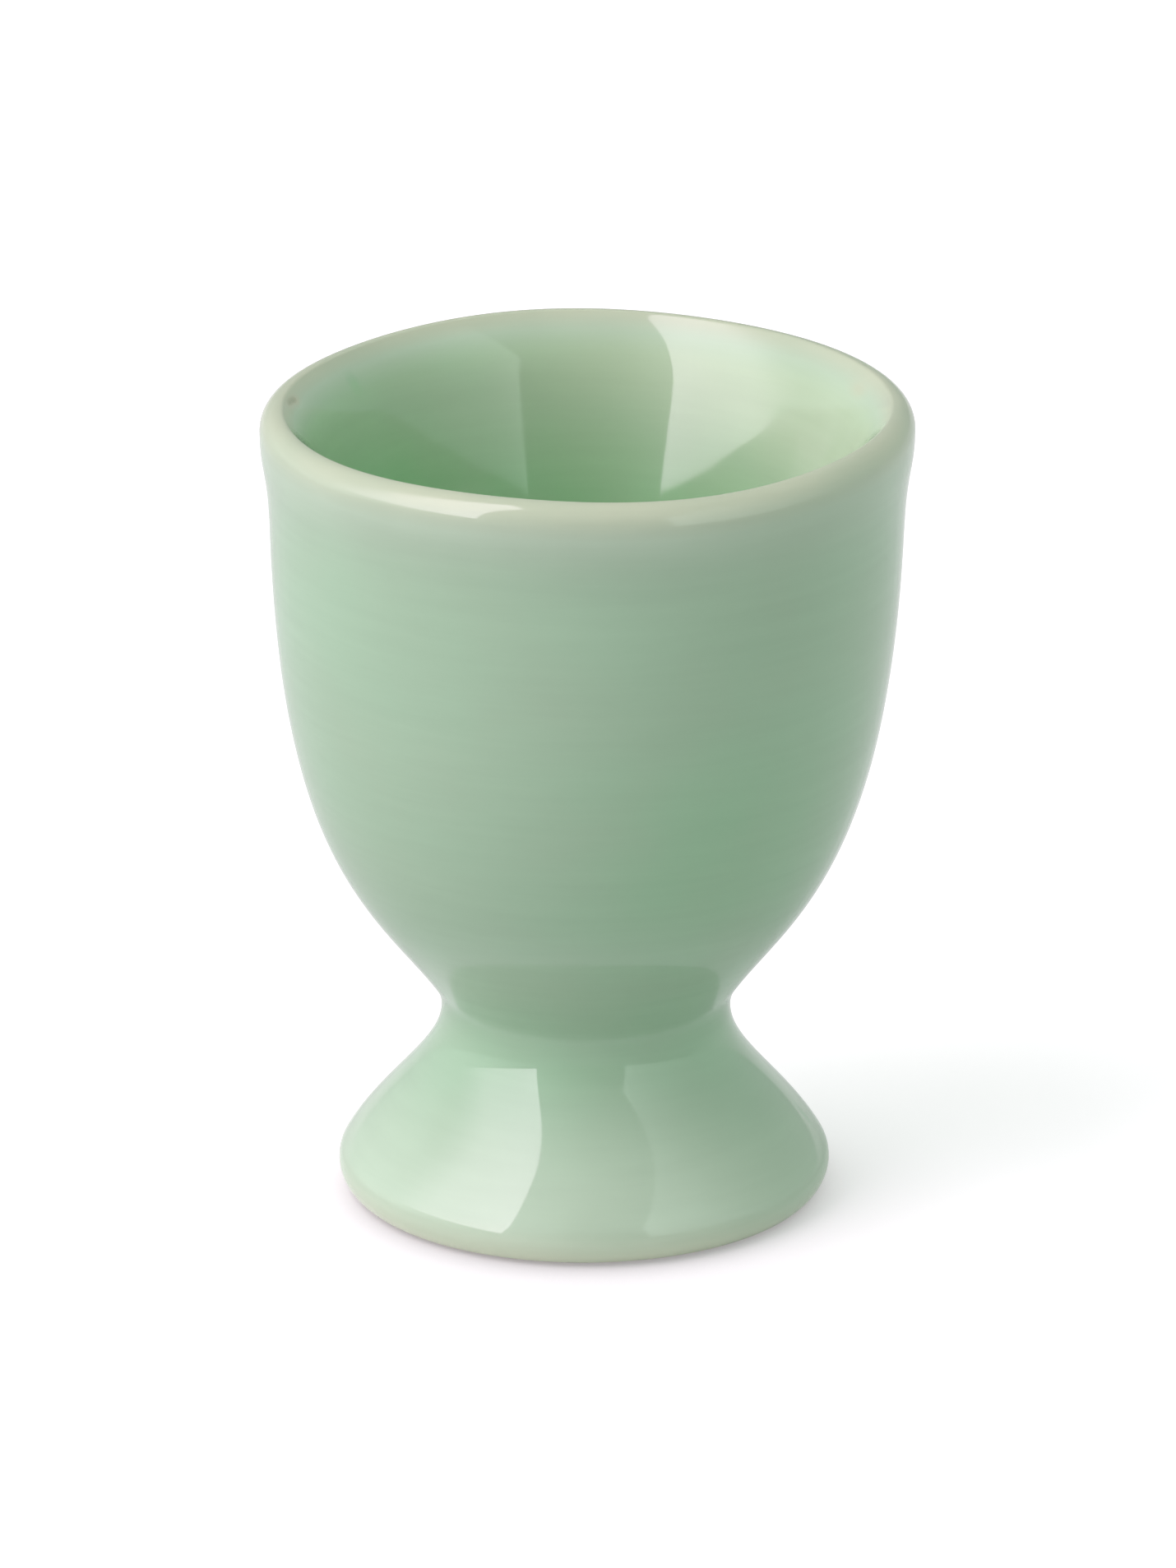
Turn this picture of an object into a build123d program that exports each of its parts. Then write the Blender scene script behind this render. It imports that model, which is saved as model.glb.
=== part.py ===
"""Egg cup of thrown stoneware: a bowl luted to a hollow foot, under a coat of celadon glaze.

Millimetres, +Z up. The origin is on the table, in the middle of the foot ring. Every piece is turned
about Z, so each one is a half section that is revolved. Outside sizes are over the glaze; the clay
lies under it by the thickness of the coat.
"""

import os
from math import acos, asin, atan2, cos, degrees, hypot, pi, radians, sin

from build123d import *

# Whole cup
height = 63.5
rim_diameter = 50.1
waist_diameter = 22.46
waist_height = 14.6
foot_diameter = 38.24

# Rim
lip_shoulder = 1.6
lip_rise = 1.8
lip_inner_radius = 0.4
lip_lean = radians(46.0)

# Outside of the bowl
flare_depth = 9.75
flare_overhang = 0.74
wall_lean = radians(1.8)
bowl_lean = radians(34.4)
waist_fillet = 3.7
flare_pull_at_rim = 0.36
flare_pull_at_wall = 0.64
belly_pull_at_wall = 0.69
belly_pull_at_waist = 0.21

# Well for the egg
well_depth = 38.3
well_radius = 12.3
mouth_radius = 11.0
well_pull = 0.33

# Foot
foot_edge_radius = 2.2
foot_slope = radians(30.0)
foot_pull_at_waist = 0.29
foot_pull_at_edge = 0.36
foot_ring_width = 1.5
ring_inner_radius = 1.0

# Luted joint
joint_width = 5.0
slip_thickness = 0.6

# Glaze
glaze_at_rim = 0.2
glaze_on_wall = 0.35
glaze_in_waist = 0.45
glaze_on_foot = 0.25
glaze_in_well = 0.5
glaze_underneath = 0.25
glaze_line_height = 0.3

# Rim, in section
rim_radius = rim_diameter / 2
crest_radius = rim_radius - lip_shoulder
shoulder_height = height - lip_rise
lip_inner_centre = (crest_radius, height - lip_inner_radius)

# Bowl wall and waist, in section
wall_point = (rim_radius - flare_overhang, height - flare_depth)
waist_radius = waist_diameter / 2
fillet_centre = (waist_radius + waist_fillet, waist_height)
bowl_base_height = waist_height + slip_thickness
joint_outer_radius = waist_radius - glaze_in_waist
joint_bore_radius = joint_outer_radius - joint_width

# Well: a wide round at the mouth, and the line that touches it and the round bottom
well_floor_height = height - well_depth
well_centre = (0.0, well_floor_height + well_radius)
mouth_centre = (
    lip_inner_centre[0] + (mouth_radius - lip_inner_radius) * cos(lip_lean),
    lip_inner_centre[1] - (mouth_radius - lip_inner_radius) * sin(lip_lean),
)
mouth_to_well = (mouth_centre[0] - well_centre[0], mouth_centre[1] - well_centre[1])
well_lean = acos((mouth_radius + well_radius) / hypot(*mouth_to_well)) - atan2(mouth_to_well[1], mouth_to_well[0])

# Foot ring, in section
clay_edge_radius = foot_edge_radius - glaze_on_foot
edge_centre = (foot_diameter / 2 - foot_edge_radius, clay_edge_radius)
glaze_line_angle = asin((clay_edge_radius - glaze_line_height) / foot_edge_radius)
ring_inner_centre = (edge_centre[0] - foot_ring_width, ring_inner_radius)

# Hollow of the foot: the line from the joint's bore that touches the ring's inner arc
hollow_top = (joint_bore_radius, waist_height)
ring_to_top = (hollow_top[0] - ring_inner_centre[0], hollow_top[1] - ring_inner_centre[1])
hollow_angle = atan2(ring_to_top[1], ring_to_top[0]) + acos(ring_inner_radius / hypot(*ring_to_top))
ring_glaze_angle = pi + asin((ring_inner_radius - glaze_line_height) / ring_inner_radius)


def on_circle(centre, radius, angle):
    """Point of a circle at an angle in radians from +X of the section."""
    return (centre[0] + radius * cos(angle), centre[1] + radius * sin(angle))


def under(point, lean, depth):
    """Point under an outside surface that leans in by lean as it goes down, square to it by depth."""
    return (point[0] - depth * cos(lean), point[1] + depth * sin(lean))


def wall_curve(upper, upper_lean, upper_pull, lower, lower_lean, lower_pull):
    """Smooth wall between two points that leaves each at its lean; the pulls are shares of the run."""
    run = hypot(upper[0] - lower[0], upper[1] - lower[1])
    upper_handle = upper_pull * run
    lower_handle = lower_pull * run
    Bezier(
        upper,
        (upper[0] - upper_handle * sin(upper_lean), upper[1] - upper_handle * cos(upper_lean)),
        (lower[0] + lower_handle * sin(lower_lean), lower[1] + lower_handle * cos(lower_lean)),
        lower,
    )


def round_edge(centre, radius, start, end):
    """Arc from one angle to another, in radians."""
    CenterArc(centre, radius, degrees(start), degrees(end - start))


def bowl_outside(rim_depth, wall_depth, waist_depth):
    """Crest of the rim, lip, flare and belly, down to the top of the waist fillet."""
    lip_edge = under((rim_radius, shoulder_height), 0.0, rim_depth)
    wall = under(wall_point, wall_lean, wall_depth)
    fillet_top = on_circle(fillet_centre, waist_fillet + waist_depth, pi - bowl_lean)
    EllipticalCenterArc(
        (crest_radius, shoulder_height), lip_shoulder - rim_depth, lip_rise - rim_depth, start_angle=0, arc_size=90
    )
    wall_curve(lip_edge, 0.0, flare_pull_at_rim, wall, wall_lean, flare_pull_at_wall)
    wall_curve(wall, wall_lean, belly_pull_at_wall, fillet_top, bowl_lean, belly_pull_at_waist)


def foot_outside(waist_depth, edge_depth, end_angle):
    """Flare of the foot from the waist, and its rounded edge down to an angle below the level."""
    top = (waist_radius - waist_depth, waist_height)
    edge_top = on_circle(edge_centre, foot_edge_radius - edge_depth, foot_slope)
    wall_curve(top, 0.0, foot_pull_at_waist, edge_top, -foot_slope, foot_pull_at_edge)
    round_edge(edge_centre, foot_edge_radius - edge_depth, foot_slope, -end_angle)


def well_inside(rim_depth, well_glaze):
    """Crest of the rim, inner edge of the lip, round mouth, tapered wall and round bottom, to the axis."""
    mouth_end = on_circle(mouth_centre, mouth_radius - rim_depth, pi - well_lean)
    bottom_start = on_circle(well_centre, well_radius + well_glaze, -well_lean)
    round_edge(lip_inner_centre, lip_inner_radius - rim_depth, pi / 2, pi - lip_lean)
    round_edge(mouth_centre, mouth_radius - rim_depth, pi - lip_lean, pi - well_lean)
    wall_curve(mouth_end, well_lean, well_pull, bottom_start, well_lean, well_pull)
    round_edge(well_centre, well_radius + well_glaze, -well_lean, -pi / 2)


clay_fillet_radius = waist_fillet + glaze_in_waist
slip_angle = asin(slip_thickness / clay_fillet_radius)
bowl_base_edge = on_circle(fillet_centre, clay_fillet_radius, pi - slip_angle)
clay_crest = (crest_radius, height - glaze_at_rim)
clay_well_floor = (0.0, well_floor_height - glaze_in_well)

with BuildPart() as bowl:
    with BuildSketch(Plane.XZ):
        with BuildLine():
            bowl_outside(glaze_at_rim, glaze_on_wall, glaze_in_waist)
            round_edge(fillet_centre, clay_fillet_radius, pi - bowl_lean, pi - slip_angle)
            Polyline(bowl_base_edge, (0.0, bowl_base_height), clay_well_floor)
            well_inside(glaze_at_rim, glaze_in_well)
        make_face()
    revolve(axis=Axis.Z)
bowl.part.label = "bowl"

with BuildPart() as foot:
    with BuildSketch(Plane.XZ):
        with BuildLine():
            foot_outside(glaze_in_waist, glaze_on_foot, pi / 2)
            Line((edge_centre[0], 0.0), (ring_inner_centre[0], 0.0))
            round_edge(ring_inner_centre, ring_inner_radius, -pi / 2, hollow_angle - 2 * pi)
            Polyline(
                on_circle(ring_inner_centre, ring_inner_radius, hollow_angle),
                hollow_top,
                (joint_outer_radius, waist_height),
            )
        make_face()
    revolve(axis=Axis.Z)
foot.part.label = "foot"

with BuildPart() as joint_slip:
    with BuildSketch(Plane.XZ):
        with BuildLine():
            round_edge(fillet_centre, clay_fillet_radius, pi - slip_angle, pi)
            Polyline(
                (joint_outer_radius, waist_height),
                hollow_top,
                (joint_bore_radius, bowl_base_height),
                bowl_base_edge,
            )
        make_face()
    revolve(axis=Axis.Z)
joint_slip.part.label = "joint_slip"

with BuildPart() as outer_glaze:
    with BuildSketch(Plane.XZ):
        with BuildLine():
            bowl_outside(0.0, 0.0, 0.0)
            round_edge(fillet_centre, waist_fillet, pi - bowl_lean, pi)
            foot_outside(0.0, 0.0, glaze_line_angle)
            Line(
                on_circle(edge_centre, foot_edge_radius, -glaze_line_angle),
                on_circle(edge_centre, clay_edge_radius, -glaze_line_angle),
            )
            foot_outside(glaze_in_waist, glaze_on_foot, glaze_line_angle)
            round_edge(fillet_centre, clay_fillet_radius, pi - slip_angle, pi)
            round_edge(fillet_centre, clay_fillet_radius, pi - bowl_lean, pi - slip_angle)
            bowl_outside(glaze_at_rim, glaze_on_wall, glaze_in_waist)
            Line(clay_crest, (crest_radius, height))
        make_face()
    revolve(axis=Axis.Z)
outer_glaze.part.label = "outer_glaze"

with BuildPart() as liner_glaze:
    with BuildSketch(Plane.XZ):
        with BuildLine():
            well_inside(0.0, 0.0)
            Line((0.0, well_floor_height), clay_well_floor)
            well_inside(glaze_at_rim, glaze_in_well)
            Line(clay_crest, (crest_radius, height))
        make_face()
    revolve(axis=Axis.Z)
liner_glaze.part.label = "liner_glaze"

# The coat in the hollow lies on the foot's inside, the bore of the slip and the bowl's base
coat_wall_end = on_circle(ring_inner_centre, ring_inner_radius + glaze_underneath, hollow_angle)
coat_corner = (joint_bore_radius - glaze_underneath, bowl_base_height - glaze_underneath)
coat_wall_top = on_circle(hollow_top, glaze_underneath, hollow_angle)

with BuildPart() as underside_glaze:
    with BuildSketch(Plane.XZ):
        with BuildLine():
            Polyline(
                (0.0, bowl_base_height - glaze_underneath),
                (0.0, bowl_base_height),
                (joint_bore_radius, bowl_base_height),
                hollow_top,
                on_circle(ring_inner_centre, ring_inner_radius, hollow_angle),
            )
            round_edge(ring_inner_centre, ring_inner_radius, hollow_angle, ring_glaze_angle)
            Line(
                on_circle(ring_inner_centre, ring_inner_radius, ring_glaze_angle),
                on_circle(ring_inner_centre, ring_inner_radius + glaze_underneath, ring_glaze_angle),
            )
            round_edge(ring_inner_centre, ring_inner_radius + glaze_underneath, ring_glaze_angle, hollow_angle)
            Polyline(coat_wall_end, coat_wall_top, coat_corner, (0.0, bowl_base_height - glaze_underneath))
        make_face()
    revolve(axis=Axis.Z)
underside_glaze.part.label = "underside_glaze"

os.makedirs("parts", exist_ok=True)
export_step(bowl.part, "parts/bowl.step")
export_step(foot.part, "parts/foot.step")
export_step(joint_slip.part, "parts/joint_slip.step")
export_step(outer_glaze.part, "parts/outer_glaze.step")
export_step(liner_glaze.part, "parts/liner_glaze.step")
export_step(underside_glaze.part, "parts/underside_glaze.step")
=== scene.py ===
"""Thrown stoneware egg cup under celadon glaze: its looks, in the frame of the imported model.

Sizes are in millimetres until a mesh is made, and meshes are in metres. +Z is up, along the axis that the
cup was turned about, and -Y faces the camera. A section is an array of (radius, height) rows, walked with
the solid on its right-hand side, so that a surface turned from it faces outwards.
"""

import logging
from dataclasses import dataclass
from enum import Enum
from math import acos, asin, atan2, cos, hypot, pi, radians, sin, tan
from typing import Any

import bpy
import numpy as np
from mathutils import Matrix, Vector

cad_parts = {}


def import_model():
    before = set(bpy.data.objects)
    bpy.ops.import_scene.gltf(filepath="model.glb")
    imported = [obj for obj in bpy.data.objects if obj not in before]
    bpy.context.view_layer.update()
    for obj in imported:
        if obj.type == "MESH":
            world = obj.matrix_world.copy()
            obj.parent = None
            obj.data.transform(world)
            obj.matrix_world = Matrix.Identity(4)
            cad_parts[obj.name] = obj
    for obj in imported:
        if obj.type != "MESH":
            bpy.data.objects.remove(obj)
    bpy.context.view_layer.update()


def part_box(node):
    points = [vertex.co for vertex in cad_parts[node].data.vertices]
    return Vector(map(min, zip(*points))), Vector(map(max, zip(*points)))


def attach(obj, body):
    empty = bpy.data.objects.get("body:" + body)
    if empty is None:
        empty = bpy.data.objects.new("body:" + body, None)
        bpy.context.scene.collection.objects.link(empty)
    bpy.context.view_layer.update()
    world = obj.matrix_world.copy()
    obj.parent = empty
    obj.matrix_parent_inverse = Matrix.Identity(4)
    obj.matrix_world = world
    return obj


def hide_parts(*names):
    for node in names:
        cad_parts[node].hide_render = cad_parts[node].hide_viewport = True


MM = 0.001
PHOTO_ROWS = 1907
SHARP_ANGLE = radians(50.0)
BODY = "root"
LOG = logging.getLogger("egg_cup")

Array = np.ndarray
Point = tuple[float, float]
Triple = tuple[float, float, float]


class Face(Enum):
    """Which face of the glaze a section follows; the value is the share of the coat that is taken off."""

    GLAZE = 0.0
    CLAY = 1.0


class Side(Enum):
    """Which side of the wall a mark lies on."""

    WELL = "well"
    OUTSIDE = "outside"


def linear(colour: str) -> tuple[float, float, float, float]:
    """Turn an sRGB hex colour into linear values.

    Args:
        colour: Six hex digits after a hash.

    Returns:
        Red, green, blue and an alpha of 1.
    """
    coded = np.array([int(colour[i : i + 2], 16) for i in (1, 3, 5)]) / 255
    plain = np.where(coded <= 0.04045, coded / 12.92, ((coded + 0.055) / 1.055) ** 2.4)
    return (*plain.tolist(), 1.0)


def smooth_step(low: float, high: float, value: Array) -> Array:
    """Rise from 0 at low to 1 at high, level at both ends."""
    share = np.clip((value - low) / (high - low), 0, 1)
    return share * share * (3 - 2 * share)


def arc(centre: Point, radii: Point, start: float, end: float, count: int) -> Array:
    """Walk along an ellipse: centre plus radii times (cosine, sine) of an even run of angles.

    Args:
        centre: Middle of the ellipse.
        radii: Half widths along the radius and the height.
        start: First angle, in radians.
        end: Last angle, in radians.
        count: How many points.

    Returns:
        The points, one a row.
    """
    angle = np.linspace(start, end, count)
    return np.c_[centre[0] + radii[0] * np.cos(angle), centre[1] + radii[1] * np.sin(angle)]


def wall_curve(upper: Point, lower: Point, leans: Point, pulls: Point, count: int) -> Array:
    """Walk down a smooth wall: a cubic through two ends, whose handles follow the lean at each end.

    Args:
        upper: Upper end.
        lower: Lower end.
        leans: Lean inwards, going down, at the upper and lower end, in radians.
        pulls: Lengths of the two handles, as shares of the straight run.
        count: How many points.

    Returns:
        The points from the upper end to the lower, one a row.
    """
    top, foot = np.array(upper), np.array(lower)
    run = float(np.hypot(*(top - foot)))
    top_handle = top - pulls[0] * run * np.array([sin(leans[0]), cos(leans[0])])
    foot_handle = foot + pulls[1] * run * np.array([sin(leans[1]), cos(leans[1])])
    t = np.linspace(0, 1, count)[:, None]
    upper_part = top * (1 - t) ** 3 + 3 * top_handle * t * (1 - t) ** 2
    return upper_part + 3 * foot_handle * t * t * (1 - t) + foot * t**3


def chain(*runs: Array) -> Array:
    """Join runs of points end to end, and drop the point that each run shares with the one before."""
    return np.concatenate([runs[0]] + [run[1:] for run in runs[1:]])


def on_circle(centre: Point, radius: float, angle: float) -> Point:
    """Point of a circle at an angle in radians."""
    return (centre[0] + radius * cos(angle), centre[1] + radius * sin(angle))


def add(
    tree: bpy.types.NodeTree, kind: str, inputs: dict[Any, Any] | None = None, **settings: Any
) -> bpy.types.Node:
    """Add one shader node, with its settings, and fill or link its inputs.

    Args:
        tree: Node tree that gets the node.
        kind: Blender's name of the node type.
        inputs: Socket name or number, to a value or to the output socket that feeds it.
        settings: The node's own properties.

    Returns:
        The new node.
    """
    made = tree.nodes.new(kind)
    for name, value in settings.items():
        setattr(made, name, value)
    for socket, value in (inputs or {}).items():
        if isinstance(value, bpy.types.NodeSocket):
            tree.links.new(value, made.inputs[socket])
        else:
            made.inputs[socket].default_value = value
    return made


def span(value: bpy.types.NodeSocket, given: Point, wanted: Point) -> dict[str, Any]:
    """Inputs of a map range node that carries one range of a value to another."""
    ends = zip(("From Min", "From Max", "To Min", "To Max"), (*given, *wanted))
    return {"Value": value, **dict(ends)}


def new_material(name: str) -> tuple[bpy.types.Material, bpy.types.NodeTree]:
    """Make an empty node material, and return it with its tree."""
    made = bpy.data.materials.new(name)
    made.use_nodes = True
    made.node_tree.nodes.clear()
    return made, made.node_tree


@dataclass(frozen=True)
class CupForm:
    """Section of the finished cup, in millimetres, over the glaze.

    Each method walks one run of the section. The clay lies under the finished surface by the thickness of
    the coat, which is thin where glaze runs off an edge and thick where it pools.
    """

    height: float
    rim_radius: float
    foot_radius: float = 19.12
    waist_radius: float = 11.23
    waist_height: float = 14.6
    lip_shoulder: float = 1.6
    lip_rise: float = 1.8
    lip_inner_radius: float = 0.4
    lip_lean: float = radians(46.0)
    flare_depth: float = 9.75
    flare_overhang: float = 0.74
    wall_lean: float = radians(1.8)
    bowl_lean: float = radians(34.4)
    waist_fillet: float = 3.7
    flare_pulls: Point = (0.36, 0.64)
    belly_pulls: Point = (0.69, 0.21)
    well_depth: float = 38.3
    well_radius: float = 12.3
    mouth_radius: float = 11.0
    well_pulls: Point = (0.33, 0.33)
    foot_edge_radius: float = 2.2
    foot_slope: float = radians(30.0)
    foot_pulls: Point = (0.29, 0.36)
    foot_ring_width: float = 1.5
    ring_inner_radius: float = 1.0
    joint_width: float = 5.0
    slip_thickness: float = 0.6
    glaze_at_rim: float = 0.2
    glaze_on_wall: float = 0.35
    glaze_in_waist: float = 0.45
    glaze_on_foot: float = 0.25
    glaze_in_well: float = 0.5
    glaze_underneath: float = 0.25
    glaze_line_height: float = 0.3

    @classmethod
    def from_frame(cls) -> "CupForm":
        """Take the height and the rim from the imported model."""
        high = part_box("outer_glaze")[1]
        return cls(height=high.z / MM, rim_radius=high.x / MM)

    @property
    def crest_radius(self) -> float:
        """Radius at which the rim is highest."""
        return self.rim_radius - self.lip_shoulder

    @property
    def fillet_centre(self) -> Point:
        """Middle of the round that turns the bowl into the waist."""
        return (self.waist_radius + self.waist_fillet, self.waist_height)

    @property
    def bowl_base(self) -> float:
        """Height of the flat face that the bowl was luted on by."""
        return self.waist_height + self.slip_thickness

    @property
    def clay_fillet(self) -> float:
        """Radius of the waist's round, on the clay."""
        return self.waist_fillet + self.glaze_in_waist

    @property
    def slip_angle(self) -> float:
        """Turn of the waist's round that the slip takes up."""
        return asin(self.slip_thickness / self.clay_fillet)

    @property
    def joint_radii(self) -> Point:
        """Bore and outside of the luted joint."""
        outer = self.waist_radius - self.glaze_in_waist
        return (outer - self.joint_width, outer)

    @property
    def edge_centre(self) -> Point:
        """Middle of the foot's rounded edge."""
        return (self.foot_radius - self.foot_edge_radius, self.foot_edge_radius - self.glaze_on_foot)

    @property
    def ring_centre(self) -> Point:
        """Middle of the round on the inside of the foot ring."""
        return (self.edge_centre[0] - self.foot_ring_width, self.ring_inner_radius)

    @property
    def hollow_angle(self) -> float:
        """Angle on the foot ring's inner round at which the straight wall of the hollow leaves it."""
        across = self.joint_radii[0] - self.ring_centre[0]
        up = self.waist_height - self.ring_centre[1]
        return atan2(up, across) + acos(self.ring_inner_radius / hypot(across, up))

    def lip_outside(self, face: Face) -> Array:
        """Crest of the rim out to its widest point: a quarter of an ellipse."""
        off = face.value * self.glaze_at_rim
        centre = (self.crest_radius, self.height - self.lip_rise)
        return arc(centre, (self.lip_shoulder - off, self.lip_rise - off), pi / 2, 0, count=22)

    def bowl_outside(self, face: Face) -> Array:
        """Flare, belly and the round into the waist: two smooth walls, then an arc."""
        rim, wall, waist = face.value * np.array([self.glaze_at_rim, self.glaze_on_wall, self.glaze_in_waist])
        lip_edge = (self.rim_radius - rim, self.height - self.lip_rise)
        wall_point = (
            self.rim_radius - self.flare_overhang - wall * cos(self.wall_lean),
            self.height - self.flare_depth + wall * sin(self.wall_lean),
        )
        fillet = self.waist_fillet + waist
        fillet_top = on_circle(self.fillet_centre, fillet, pi - self.bowl_lean)
        return chain(
            wall_curve(lip_edge, wall_point, (0, self.wall_lean), self.flare_pulls, count=26),
            wall_curve(wall_point, fillet_top, (self.wall_lean, self.bowl_lean), self.belly_pulls, count=60),
            arc(self.fillet_centre, (fillet, fillet), pi - self.bowl_lean, pi, count=18),
        )

    def foot_outside(self, face: Face, end: float) -> Array:
        """Flare of the foot, then its rounded edge down to an angle below the level."""
        waist, edge = face.value * np.array([self.glaze_in_waist, self.glaze_on_foot])
        radius = self.foot_edge_radius - edge
        edge_top = on_circle(self.edge_centre, radius, self.foot_slope)
        top = (self.waist_radius - waist, self.waist_height)
        return chain(
            wall_curve(top, edge_top, (0, -self.foot_slope), self.foot_pulls, count=40),
            arc(self.edge_centre, (radius, radius), self.foot_slope, -end, count=20),
        )

    def glaze_line(self) -> float:
        """Angle below the level at which the glaze ends on the foot's edge."""
        return asin((self.edge_centre[1] - self.glaze_line_height) / self.foot_edge_radius)

    def well_inside(self, face: Face) -> Array:
        """Axis at the well's bottom, up the tapered wall, round the mouth and over the lip to the crest."""
        rim, well = face.value * np.array([self.glaze_at_rim, self.glaze_in_well])
        lip = (self.crest_radius, self.height - self.lip_inner_radius)
        mouth = on_circle(lip, self.mouth_radius - self.lip_inner_radius, -self.lip_lean)
        floor = (0.0, self.height - self.well_depth + self.well_radius)
        away = (mouth[0] - floor[0], mouth[1] - floor[1])
        lean = acos((self.mouth_radius + self.well_radius) / hypot(*away)) - atan2(away[1], away[0])
        lip_radius, mouth_radius = self.lip_inner_radius - rim, self.mouth_radius - rim
        bottom_radius = self.well_radius + well
        upper = on_circle(mouth, mouth_radius, pi - lean)
        lower = on_circle(floor, bottom_radius, -lean)
        return chain(
            arc(floor, (bottom_radius, bottom_radius), -pi / 2, -lean, count=30),
            wall_curve(upper, lower, (lean, lean), self.well_pulls, count=36)[::-1],
            arc(mouth, (mouth_radius, mouth_radius), pi - lean, pi - self.lip_lean, count=24),
            arc(lip, (lip_radius, lip_radius), pi - self.lip_lean, pi / 2, count=12),
        )

    def glazed(self, face: Face) -> Array:
        """Whole run that the glaze covers, from the bottom of the well, over the rim, to the glaze line."""
        return chain(
            self.well_inside(face),
            self.lip_outside(face),
            self.bowl_outside(face),
            self.foot_outside(face, self.glaze_line()),
        )


@dataclass(frozen=True)
class HandTurning:
    """What a hand on the wheel leaves: a rim that rises and falls, a drifting axis and faint throwing rings.

    All are millimetres. Each pair of the rim's waves is a cosine and a sine, and the first pair goes once
    round. A step of the drift is its two heights and how far it moves the axis to +X. The throwing rings
    fade in from one radius to the next, and from one height to the next.
    """

    form: CupForm
    rim_waves: tuple[Point, ...] = ((0.08, -0.05), (-0.06, 0.01), (0.09, -0.09), (0.04, -0.03), (-0.06, 0.0))
    rim_reach: float = 18.0
    drift: tuple[Triple, ...] = ((0.0, 16.0, 0.15), (16.0, 28.0, -0.06), (28.0, 63.5, 0.18))
    drift_at_foot: float = -0.2
    ring_pitches: Point = (11.0, 2.7)
    ring_depths: Point = (0.004, 0.001)
    ring_radii: Point = (3.0, 8.0)
    ring_heights: Point = (0.0, 5.0)

    def place(self, section: Array, turns: int) -> Array:
        """Carry a section round the axis, with the marks of the hand.

        A point at radius r, height z and turn a goes to
        ((r + rings) cos a + drift, (r + rings) sin a, z + lift).
        The lift is a sum of waves in a that fades out below the rim, the rings are two sines of the height
        that climb one pitch a turn, and the drift is a sum of smooth steps in the height.

        Args:
            section: Radius and height, one point a row.
            turns: How many points go round.

        Returns:
            Points in metres, in an array of rows by turns by 3.
        """
        radius, height = section[:, :1], section[:, 1:]
        turn = np.linspace(0, 2 * pi, turns, endpoint=False)[None, :]
        order = np.arange(1, len(self.rim_waves) + 1)[:, None, None]
        waves = np.array(self.rim_waves)[:, :, None, None]
        lift = (waves[:, 0] * np.cos(order * turn) + waves[:, 1] * np.sin(order * turn)).sum(0)
        lift = lift * smooth_step(self.form.height - self.rim_reach, self.form.height, height)
        slow, fine = (2 * pi * height / pitch + turn for pitch in self.ring_pitches)
        rings = self.ring_depths[0] * np.sin(slow) + self.ring_depths[1] * np.sin(fine)
        rings = rings * smooth_step(*self.ring_radii, radius)
        wide = radius + rings * smooth_step(*self.ring_heights, height)
        steps = (step * smooth_step(low, high, height) for low, high, step in self.drift)
        shift = self.drift_at_foot + sum(steps)
        spots = np.stack([wide * np.cos(turn) + shift, wide * np.sin(turn), height + lift], axis=-1)
        return spots * MM


@dataclass(frozen=True)
class Mark:
    """A soft-edged spot in the glaze, a fault or a broad patch, with more or less glaze than around it.

    The turn is in degrees from +X, and the rest is in millimetres. Across and up are the half widths at
    which the spot has faded to a third. It sinks into the surface, and thins the coat. The broad patches on
    the outside are painted shade: thicker, deeper green glaze where less light falls.
    """

    side: Side
    turn: float
    height: float
    across: float
    up: float
    sink: float
    thins: float


def turned_object(name: str, rings: Array, closed: bool) -> bpy.types.Object:
    """Make a mesh object from rings of points.

    Four-sided faces join each ring to the next. A closed section joins the last ring to the first. An open
    one has its ends on the axis, where the first and last rows of the array have shrunk to points, so only
    one point of each is kept and a fan of triangles joins it to its neighbour.

    Args:
        name: Name of the object and its mesh.
        rings: Points in metres, rows by turns by 3.
        closed: Whether the section is a loop clear of the axis.

    Returns:
        The object, linked to the scene.
    """
    body = rings if closed else rings[1:-1]
    rows, turns = body.shape[:2]
    spots = body.reshape(-1, 3)
    here = np.arange(rows * turns).reshape(rows, turns)
    beside = np.roll(here, -1, axis=1)
    if closed:
        after, after_beside = np.roll(here, -1, axis=0), np.roll(beside, -1, axis=0)
        faces = np.stack([here, after, after_beside, beside], axis=-1).reshape(-1, 4).tolist()
    else:
        faces = np.stack([here[:-1], here[1:], beside[1:], beside[:-1]], axis=-1).reshape(-1, 4).tolist()
        first, last = np.full(turns, rows * turns), np.full(turns, rows * turns + 1)
        faces += np.stack([first, here[0], beside[0]], axis=-1).tolist()
        faces += np.stack([here[-1], last, beside[-1]], axis=-1).tolist()
        spots = np.concatenate([spots, rings[:1, 0], rings[-1:, 0]])
    mesh = bpy.data.meshes.new(name)
    mesh.from_pydata(spots.tolist(), [], faces)
    mesh.polygons.foreach_set("use_smooth", np.ones(len(mesh.polygons), bool))
    mesh.set_sharp_from_angle(angle=SHARP_ANGLE)
    mesh.update()
    made = bpy.data.objects.new(name, mesh)
    bpy.context.scene.collection.objects.link(made)
    return made


def store(piece: bpy.types.Object, name: str, rings: Array, closed: bool) -> None:
    """Keep one number a point on a turned object, from an array of rows by turns.

    Args:
        piece: Object made by turned_object.
        name: Name of the attribute.
        rings: The numbers, in the same rows and turns as the object's points.
        closed: Whether the section is a loop clear of the axis.
    """
    values = rings.ravel() if closed else np.r_[rings[1:-1].ravel(), rings[0, 0], rings[-1, 0]]
    piece.data.attributes.new(name, "FLOAT", "POINT").data.foreach_set("value", values.astype(np.float32))


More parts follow.
